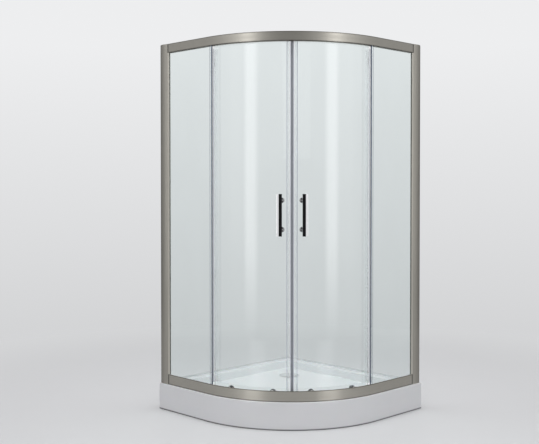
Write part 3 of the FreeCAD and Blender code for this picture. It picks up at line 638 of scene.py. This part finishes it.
def ring_and_socket(mesh, centre, axis, radius):
    """Adds a raised ring and a six-sided socket rim on a turned face."""
    matrix = stood_on(centre, axis)
    ring = ((0.92, -0.0004), (0.90, 0.0004), (0.80, 0.0004), (0.76, -0.0002))
    turned(mesh, [(share * radius, height) for share, height in ring], 48, matrix)
    hub = 0.42 * radius
    rim = ((1.0, -0.0003), (1.0, 0.0007), (0.8, 0.0009), (0.62, 0.0009))
    turned(mesh, [(share * hub, height) for share, height in rim], 6, matrix)


def cross_head(mesh, face, axis, radius):
    """Adds a low screw head with a cross recess, over the plain head of the solid."""
    matrix = stood_on(face, axis)
    half_slot = 0.13 * radius
    slot_end = 0.55 * radius
    corner = 0.6 * radius * math.sqrt(0.5)
    low, high = -0.0009, 0.0003
    head = ((1.0, -0.0022), (1.0, -0.0004), (0.86, 0.0001), (0.62, 0.0001), (0.60, 0.0))
    turned(mesh, [(share * radius, height) for share, height in head], 32, matrix)
    plan = [(slot_end, half_slot), (half_slot, half_slot), (half_slot, slot_end), (corner, corner)]
    for quarter in range(4):
        turn = matrix @ Matrix.Rotation(quarter * math.pi / 2, 4, "Z")
        near, far = [[turn @ Vector((x, y, z)) for x, y in plan] for z in (low, high)]
        bar(mesh, near, far, open_near=True)


class SHOWER_OT_tray(bpy.types.Operator):
    """Finish the tray, its board and its feet"""
    bl_idname = "shower.tray"
    bl_label = "Tray"

    def execute(self, context):
        tray = context.scene.shower_tray
        steel = steel_of_screws()
        foot = moulded_plastic("foot_pad_plastic", tuple(tray.foot), 0.45)
        dress("tray_shell", white_acrylic())
        dress("tray_support_board", chipboard())
        dress("tray_support_bars", powder_coat())
        dress("tray_foot_pads", foot)
        dress("tray_foot_nuts", steel)
        dress("tray_foot_rods", steel)
        self.threads(tray.thread_pitch, steel)
        self.pad_ribs(foot)
        return {"FINISHED"}

    def threads(self, pitch, steel):
        """Threaded rods in place of the plain ones."""
        mesh = bmesh.new()
        segments = 20
        depth = 0.55 * pitch
        for low, high, _ in solids_of("tray_foot_rods"):
            foot = Vector(((low.x + high.x) / 2, (low.y + high.y) / 2, 0))
            outer = (high.x - low.x) / 2
            inner = outer - depth
            turns = int((high.z - low.z) / pitch)
            previous = None
            for step in range(turns * segments + 1):
                rise = low.z + pitch * step / segments
                outline = ((inner, rise), (outer, rise + pitch / 2), (inner, rise + pitch))
                ring = [mesh.verts.new(foot + around(step / segments) * radius + UP * min(height, high.z))
                        for radius, height in outline]
                if previous:
                    for corners in zip(previous, ring, ring[1:], previous[1:]):
                        mesh.faces.new(corners)
                previous = ring
            turned(mesh, [(inner, low.z), (inner, high.z)], segments, Matrix.Translation(foot))
        bmesh.ops.remove_doubles(mesh, verts=mesh.verts, dist=0.000005)
        rods = piece_from("threaded_foot_rods", mesh, steel, "frame")
        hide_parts("tray_foot_rods")

    def pad_ribs(self, material):
        """Stiffening ribs on top of each foot pad."""
        mesh = bmesh.new()
        count, half_thick = 8, 0.0009
        disc_height, tube_radius, above_tube = 0.006, 0.0075, 0.0012
        rises = (1, 0.55, 0.55, 1)      # shares of the height, lower at the outer end
        for low, high, _ in solids_of("tray_foot_pads"):
            base = Vector(((low.x + high.x) / 2, (low.y + high.y) / 2, low.z + disc_height))
            top = UP * (high.z - base.z + above_tube)
            for index in range(count):
                along = around(index / count)
                across = Vector((-along.y, along.x, 0)) * half_thick
                start = base + along * tube_radius
                end = base + along * 0.46 * (high.x - low.x)
                corners = [start - across, end - across, end + across, start + across]
                bar(mesh, corners, [c + top * share for c, share in zip(corners, rises)])
        piece_from("foot_pad_ribs", mesh, material, "frame", 0.0003)


class SHOWER_OT_waste(bpy.types.Operator):
    """Finish the waste and its trap"""
    bl_idname = "shower.waste"
    bl_label = "Waste"

    def execute(self, context):
        chrome = tuple(context.scene.shower_metal.chrome)
        pipe = moulded_plastic("trap_plastic", tuple(context.scene.shower_tray.pipe), 0.3)
        # The waste cover's upright sides get painted shade.
        dress("waste_cover", polished_chrome("cover_chrome", shade(chrome, 0.85), 0.2, True))
        dress("waste_flange", polished_chrome("flange_chrome", shade(chrome, 0.9), 0.18))
        dress("waste_seal", rubber("seal_rubber_finish", WASTE_RUBBER))
        dress("waste_body", pipe)
        dress("waste_outlet", pipe)
        self.nut_ribs(pipe)
        return {"FINISHED"}

    def nut_ribs(self, material):
        """Grip ribs round the union nut of the outlet."""
        low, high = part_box("waste_outlet")
        centre = Vector(((low.x + high.x) / 2, 0, (low.z + high.z) / 2))
        radius = (high.x - low.x) / 2
        points = [v.co for v in frame["nodes"]["waste_outlet"].data.vertices]
        wide = [p.y for p in points if math.hypot(p.x - centre.x, p.z - centre.z) > radius - 0.0003]
        margin, half_thick, count = 0.001, 0.0009, 28
        root, crest, root_width = radius - 0.0006, radius + 0.0008, 1.6
        start = Vector((0, min(wide) + margin, 0))
        end = Vector((0, max(wide) - margin, 0))
        mesh = bmesh.new()
        for index in range(count):
            out = Vector((math.cos(2 * math.pi * index / count), 0, math.sin(2 * math.pi * index / count)))
            across = Vector((-out.z, 0, out.x)) * half_thick
            inner, outer = centre + out * root, centre + out * crest
            wide_across = across * root_width
            corners = [inner - wide_across, outer - across, outer + across, inner + wide_across]
            bar(mesh, [c + start for c in corners], [c + end for c in corners])
        piece_from("outlet_nut_ribs", mesh, material, "frame", 0.0002)


class SHOWER_OT_rails(bpy.types.Operator):
    """Finish the rails and wall profiles, with cross-head screws"""
    bl_idname = "shower.rails"
    bl_label = "Rails and wall profiles"

    def execute(self, context):
        curved = satin_nickel("brushed_nickel_rails", True)
        upright = satin_nickel("brushed_nickel_profiles", False, 0.98)
        for rail in RAILS:
            dress(rail, curved)
        dress_both("wall_channel", upright)
        # The jambs' nickel is painted lighter, standing in for the highlight on their rounded front edges.
        dress_both("jamb", satin_nickel("jamb_nickel_painted_highlight", False, 1.55))
        dress("channel_caps", upright)
        dress("rail_end_blocks", moulded_plastic("end_block_plastic", END_BLOCK))
        dress("door_stops", rubber("stop_rubber_finish", STOP_RUBBER))
        steel = steel_of_screws()
        for node in ("jamb_screws", "rail_screws"):
            dress(node, steel)
            mesh = bmesh.new()
            for solid in solids_of(node):
                cross_head(mesh, *end_of_screw(*solid))
            piece_from(node + "_cross_heads", mesh, steel, "frame")
        return {"FINISHED"}


class SHOWER_OT_fixed_glass(bpy.types.Operator):
    """Finish the flat panes, their gaskets and their seals"""
    bl_idname = "shower.fixed_glass"
    bl_label = "Fixed glass"

    def execute(self, context):
        glass = context.scene.shower_glass
        rib = seal_rib("seal_rib_finish", tuple(glass.seal_rib))
        dress_both("strike_seal", made_once("clear_seal_finish", clear_seal))
        dress_both("glazing_gaskets", rubber("gasket_rubber_finish", GASKET_RUBBER))
        for side, across in zip(SIDES, ("Y", "X")):
            dress(side + "_fixed_pane", clear_glass(side + "_pane_glass", across))
            slimmed(side + "_fixed_pane")
            self.strike_ribs(side, rib, glass.rib_width)
        return {"FINISHED"}

    def strike_ribs(self, side, material, rib_width):
        """Upright ribs at the two edges of the seal on the pane's free end."""
        low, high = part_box(side + "_strike_seal")
        mesh = bmesh.new()
        for share, width in ((0.04, 0.8 * rib_width), (0.90, 2.1 * rib_width)):
            inside, outside = width / 2, width / 3
            if side == "left":
                start = low.x + share * (high.x - low.x)
                edges = (start, start + width, low.y - outside, low.y + inside)
            else:
                end = high.y - share * (high.y - low.y)
                edges = (high.x - inside, high.x + outside, end - width, end)
            x_low, x_high, y_low, y_high = edges
            plan = [(x_low, y_low), (x_high, y_low), (x_high, y_high), (x_low, y_high)]
            prism(mesh, plan, low.z, high.z)
        piece_from(side + "_strike_seal_ribs", mesh, material, "frame", 0.0002)


class SHOWER_OT_door_glass(bpy.types.Operator):
    """Finish the curved doors and their seals"""
    bl_idname = "shower.door_glass"
    bl_label = "Doors and seals"

    def execute(self, context):
        glass = context.scene.shower_glass
        seal = made_once("clear_seal_finish", clear_seal)
        dress_both("door_glass", clear_glass("door_glass_finish"))
        for name in ("hook_seal", "magnet_seal", "drip_seal"):
            dress_both(name, seal)
        dress_both("magnet_strip", rubber("magnet_finish", tuple(glass.magnet), 900.0))
        # The seal lines are real ribs; their pale colour is a painted glint along the seals' edges.
        line = seal_rib("seal_glint_finish", SEAL_GLINT)
        for side in SIDES:
            slimmed(side + "_door_glass")
            for name in ("magnet_seal", "hook_seal"):
                self.seal_lines(side, name, line, 1.6 * glass.rib_width)
        return {"FINISHED"}

    def seal_lines(self, side, name, material, width):
        """Upright lines on the edge of a door seal's front wall, laid along the curved glass."""
        corners = [v.co for v in frame["nodes"][side + "_" + name].data.vertices]
        low = min(c.z for c in corners)
        high = max(c.z for c in corners)
        front = max((c - ARC_CENTRE).to_2d().length for c in corners)
        outer = [c for c in corners if (c - ARC_CENTRE).to_2d().length > front - 2 * END_REACH]
        angles = [math.atan2(c.y - ARC_CENTRE.y, c.x - ARC_CENTRE.x) for c in outer]
        inset = 0.6 * width / front
        inner_radius, outer_radius = front - 0.0006, front + 0.0004
        centre = ARC_CENTRE.to_2d()
        mesh = bmesh.new()
        for angle in (min(angles) + inset, max(angles) - inset):
            out = Vector((math.cos(angle), math.sin(angle)))
            along = Vector((-out.y, out.x)) * width / 2
            inner = centre + out * inner_radius
            outer = centre + out * outer_radius
            prism(mesh, [inner - along, outer - along, outer + along, inner + along], low, high)
        piece_from(side + "_" + name + "_lines", mesh, material, side + "_door")


class SHOWER_OT_handles(bpy.types.Operator):
    """Finish the handles"""
    bl_idname = "shower.handles"
    bl_label = "Handles"

    def execute(self, context):
        colour = tuple(context.scene.shower_metal.chrome)
        chrome = polished_chrome("handle_chrome_finish", colour)
        dress_both("handle_bar", chrome)
        # The rosettes' chrome is darkened: a painted dark reflection of the room round the handles.
        dress_both("handle_posts", polished_chrome("rosette_chrome_painted_dark", shade(colour, 0.4)))
        dress_both("handle_knobs", chrome)
        dress_both("handle_insert", black_insert())
        for side in SIDES:
            self.knob_flutes(side, chrome)
        return {"FINISHED"}

    def knob_flutes(self, side, material):
        """Grip ribs round the knobs that hold the handle from inside the door."""
        mesh = bmesh.new()
        count, near_end, far_end = 24, -0.0012, -0.0065
        for low, high, points in solids_of(side + "_handle_knobs"):
            centre, axis, radius = ends_of_spindle(low, high, points)[1]
            reach = max(off_axis(p, centre, axis) for p in points)
            foot, crest = reach - 0.0006, reach + 0.0005
            plan = [(foot, -0.0006), (crest, -0.0003), (crest, 0.0003), (foot, 0.0006)]
            for index in range(count):
                turn = Matrix.Rotation(2 * math.pi * index / count, 4, "Z")
                prism(mesh, plan, near_end, far_end, stood_on(centre, axis) @ turn)
            ring_and_socket(mesh, centre, axis, radius)
        piece_from(side + "_knob_flutes", mesh, material, side + "_door", 0.0001)


class SHOWER_OT_rollers(bpy.types.Operator):
    """Finish the rollers and add their bearings"""
    bl_idname = "shower.rollers"
    bl_label = "Rollers"

    def execute(self, context):
        steel = tuple(context.scene.shower_metal.steel)
        axle = plated_steel("roller_steel", shade(steel, 0.55), 0.22)
        cap = moulded_plastic("roller_cap_plastic", ROLLER_CAP, 0.28)
        for side in SIDES:
            for node, material, end in (("roller_axles", axle, 0), ("roller_caps", cap, 1)):
                dress(side + "_" + node, material)
                mesh = bmesh.new()
                for solid in solids_of(side + "_" + node):
                    ring_and_socket(mesh, *ends_of_spindle(*solid)[end])
                piece_from(side + "_" + node + "_rings", mesh, material, side + "_door")
        nylon = moulded_plastic("wheel_nylon_finish", WHEEL_NYLON, 0.3)
        bearing = plated_steel("bearing_steel", shade(steel, 0.9), 0.18)
        for joint in frame["joints"]:
            if joint["child"].endswith("_wheel"):
                dress(joint["child"], nylon)
                self.bearing(joint["child"], Vector(joint["pos_m"]), bearing)
        return {"FINISHED"}

    def bearing(self, wheel, centre, material):
        """A bearing with an inner and an outer ring on each side of a wheel."""
        half_width = 0.0025
        axis = inward_at(centre)
        # (radius, height above the wheel's face): inner ring, cover, outer ring
        profile = [(0.0036, -0.0004), (0.0036, 0.0001), (0.0041, 0.0002), (0.0046, 0.00005),
                   (0.0057, 0.00005), (0.0062, 0.0002), (0.0066, 0.0001), (0.0066, -0.0004)]
        mesh = bmesh.new()
        for way in (axis, -axis):
            turned(mesh, profile, 40, stood_on(centre + way * half_width, way))
        piece_from(wheel + "_bearing", mesh, material, wheel)


class SHOWER_OT_studio(bpy.types.Operator):
    """Make the floor, the backdrop, the lamps and the camera"""
    bl_idname = "shower.studio"
    bl_label = "Studio"

    def execute(self, context):
        context.scene.view_settings.view_transform = "Standard"
        self.floor(context)
        self.world(context)
        self.lamps()
        self.camera(context)
        return {"FINISHED"}

    def floor(self, context):
        """A round floor that fades into the backdrop."""
        studio = context.scene.shower_studio
        finish = Finish("pale_floor", specular_ior_level=0.08)
        cloud = finish.noise(3.0, 3.0)
        finish.colour(finish.shades(cloud, tuple(studio.floor), 0.99, 1.01))
        finish.roughness(cloud, 0.35, 0.45)
        away = finish.vector("LENGTH", finish.place)["Value"]
        fade_start, fade_end = 1.1, 0.9 * studio.floor_radius
        fade = finish.ramp(away, fade_start, fade_end)
        far = finish.node("ShaderNodeEmission", {"Color": studio.low})
        finish.surface(finish.mixed(fade, finish.shader.outputs[0], far.outputs[0]))
        mesh = bmesh.new()
        bmesh.ops.create_circle(mesh, cap_ends=True, segments=96, radius=studio.floor_radius)
        floor = object_from("studio_floor", mesh, finish.material)
        floor.location.z = -0.0005

    def world(self, context):
        """Even light, and a pale gradient to look at, which gloss sees darker low down behind the part."""
        studio = context.scene.shower_studio
        context.scene.world = bpy.data.worlds.new("pale_surroundings")
        nodes = Nodes(context.scene.world)
        ray = nodes.node("ShaderNodeLightPath").outputs
        way = nodes.node("ShaderNodeTexCoord").outputs["Generated"]
        rise = nodes.parts(way)["Z"]
        gradient = nodes.mix(nodes.ramp(rise, -0.15, 0.15, kind="LINEAR"), studio.low, studio.high)
        forward = (math.sqrt(0.5), -math.sqrt(0.5), 0.0)
        behind = nodes.ramp(nodes.vector("DOT_PRODUCT", way, forward)["Value"], -0.75, 0.3, 0.8, 0.0)
        below = nodes.ramp(rise, 0.1, 0.25, 1.0, 0.0, kind="LINEAR")
        bounced = nodes.math("SUBTRACT", ray["Is Glossy Ray"], ray["Is Transmission Ray"])
        bounced = nodes.math("MULTIPLY", nodes.math("MAXIMUM", bounced, 0.0), below)
        strength = nodes.math("SUBTRACT", 1.0, nodes.math("MULTIPLY", bounced, behind))
        seen = nodes.node("ShaderNodeBackground", {"Color": gradient, "Strength": strength})
        given = nodes.node("ShaderNodeBackground", {"Color": DAYLIGHT, "Strength": studio.ambient})
        shown = ray["Is Camera Ray"]
        for kind in ("Is Glossy Ray", "Is Transmission Ray"):
            shown = nodes.math("MAXIMUM", shown, ray[kind])
        both = nodes.mixed(shown, given.outputs[0], seen.outputs[0])
        nodes.node("ShaderNodeOutputWorld", {"Surface": both})

    def lamp(self, name, place, target, size, power):
        """A square softbox that neither the camera nor gloss sees."""
        data = bpy.data.lights.new(name, "AREA")
        data.shape = "RECTANGLE"
        data.size = size
        data.size_y = size
        data.energy = power
        lamp = bpy.data.objects.new(name, data)
        lamp.location = place
        lamp.rotation_euler = (Vector(target) - Vector(place)).to_track_quat("-Z", "Y").to_euler()
        lamp.visible_camera = False
        lamp.visible_glossy = False
        bpy.context.collection.objects.link(lamp)

    def lamps(self):
        """Two softboxes, and cards given as turn, width, lower edge, upper edge and glow."""
        self.lamp("overhead_softbox", (0.3, -0.3, 4.6), (0, 0, 0.6), 3.2, 132)
        self.lamp("front_softbox", (3.6, -3.0, 2.6), (0, 0, 0.8), 2.4, 13)
        for side, turn in (("left", -37.5), ("right", 38.5)):
            self.card(side + "_strip", turn, 0.66, 0.02, 2.3, 2.9)
            self.card(side + "_panel", 1.25 * turn, 1.7, 0.15, 2.75, 0.42)
            self.card(side + "_low_strip", 0.72 * turn, 0.42, -0.15, 0.35, 0.85, distance=1.16)
        self.card("dark_flag", -2, 2.3, 1.85, 3.9, 0.0, cover=0.95)

    def card(self, name, turn, width, low, high, glow, cover=0.0, distance=2.1):
        """A soft upright card that only gloss can see, as a studio uses to shape reflections.

        It stands at a distance from the arc's centre, turned by some degrees from the middle, and
        covers a share of what is behind it.
        """
        azimuth = MIDDLE_AZIMUTH + math.radians(turn)
        away = Vector((math.cos(azimuth), math.sin(azimuth), 0))
        height = high - low
        finish = Finish(name + "_glow")
        place = finish.parts(finish.place)
        sides = finish.ramp(finish.math("ABSOLUTE", place["X"]), 0.12 * width, 0.5 * width, 1.0, 0.0)
        rise = finish.ramp(place["Y"], -0.5 * height, -0.1 * height)
        top = finish.ramp(place["Y"], 0.42 * height, 0.5 * height, 1.0, 0.0)
        soft = finish.math("MULTIPLY", finish.math("MULTIPLY", sides, rise), top)
        strength = finish.math("MULTIPLY", soft, glow)
        white = {"Color": (1.0, 1.0, 1.0), "Strength": strength}
        shine = finish.node("ShaderNodeEmission", white).outputs[0]
        clear = finish.node("ShaderNodeBsdfTransparent").outputs[0]
        held = finish.mixed(finish.math("MULTIPLY", soft, cover), clear, shine)
        finish.surface(finish.node("ShaderNodeAddShader", {0: shine, 1: held}).outputs[0])
        mesh = bmesh.new()
        corners = [(x * width / 2, y * height / 2, 0) for x, y in ((-1, -1), (1, -1), (1, 1), (-1, 1))]
        mesh.faces.new([mesh.verts.new(corner) for corner in corners])
        card = object_from(name, mesh, finish.material)
        card.location = ARC_CENTRE + distance * away + UP * (low + high) / 2
        card.rotation_euler = (-away).to_track_quat("Z", "Y").to_euler()
        for kind in ("camera", "diffuse", "transmission", "shadow", "volume_scatter"):
            setattr(card, "visible_" + kind, False)

    def camera(self, context):
        """The camera fitted to the photograph: lengths in its pixels, angles in degrees."""
        picture_width = 539
        focal_length = 900.3
        principal_x = 272.7
        principal_above_middle = 17.1
        downward, azimuth = 1.146, 44.976
        data = bpy.data.cameras.new("photo_camera")
        data.sensor_fit = "HORIZONTAL"
        data.sensor_width = 36.0
        data.lens = focal_length * data.sensor_width / picture_width
        data.shift_x = 0.5 - principal_x / picture_width
        data.shift_y = -principal_above_middle / picture_width
        camera = bpy.data.objects.new("photo_camera", data)
        camera.location = (3.3591, -3.4968, 1.1967)
        camera.rotation_euler = (math.radians(90 - downward), 0, math.radians(azimuth))
        context.collection.objects.link(camera)
        context.scene.camera = camera


STEPS = (SHOWER_OT_tray, SHOWER_OT_waste, SHOWER_OT_rails, SHOWER_OT_fixed_glass, SHOWER_OT_door_glass,
         SHOWER_OT_handles, SHOWER_OT_rollers, SHOWER_OT_studio)
SETTINGS = {"shower_metal": MetalSettings, "shower_glass": GlassSettings, "shower_tray": TraySettings,
            "shower_studio": StudioSettings}


class VIEW3D_PT_shower(bpy.types.Panel):
    """Lists the settings and steps of the shower enclosure"""
    bl_idname = "VIEW3D_PT_shower"
    bl_label = "Shower enclosure"
    bl_space_type = "VIEW_3D"
    bl_region_type = "UI"
    bl_category = "Shower"

    def draw(self, context):
        layout = self.layout
        for holder, group in SETTINGS.items():
            box = layout.box()
            box.label(text=group.__doc__)
            for name in group.__annotations__:
                box.prop(getattr(context.scene, holder), name)
        for step in STEPS:
            layout.operator(step.bl_idname)


CLASSES = (*SETTINGS.values(), *STEPS, VIEW3D_PT_shower)


def register():
    for made in CLASSES:
        bpy.utils.register_class(made)
    for holder, group in SETTINGS.items():
        setattr(bpy.types.Scene, holder, bpy.props.PointerProperty(type=group))


def unregister():
    for holder in SETTINGS:
        delattr(bpy.types.Scene, holder)
    for made in reversed(CLASSES):
        bpy.utils.unregister_class(made)


def main():
    register()
    for step in STEPS:
        group, name = step.bl_idname.split(".")
        getattr(getattr(bpy.ops, group), name)()


if __name__ == "__main__":
    main()
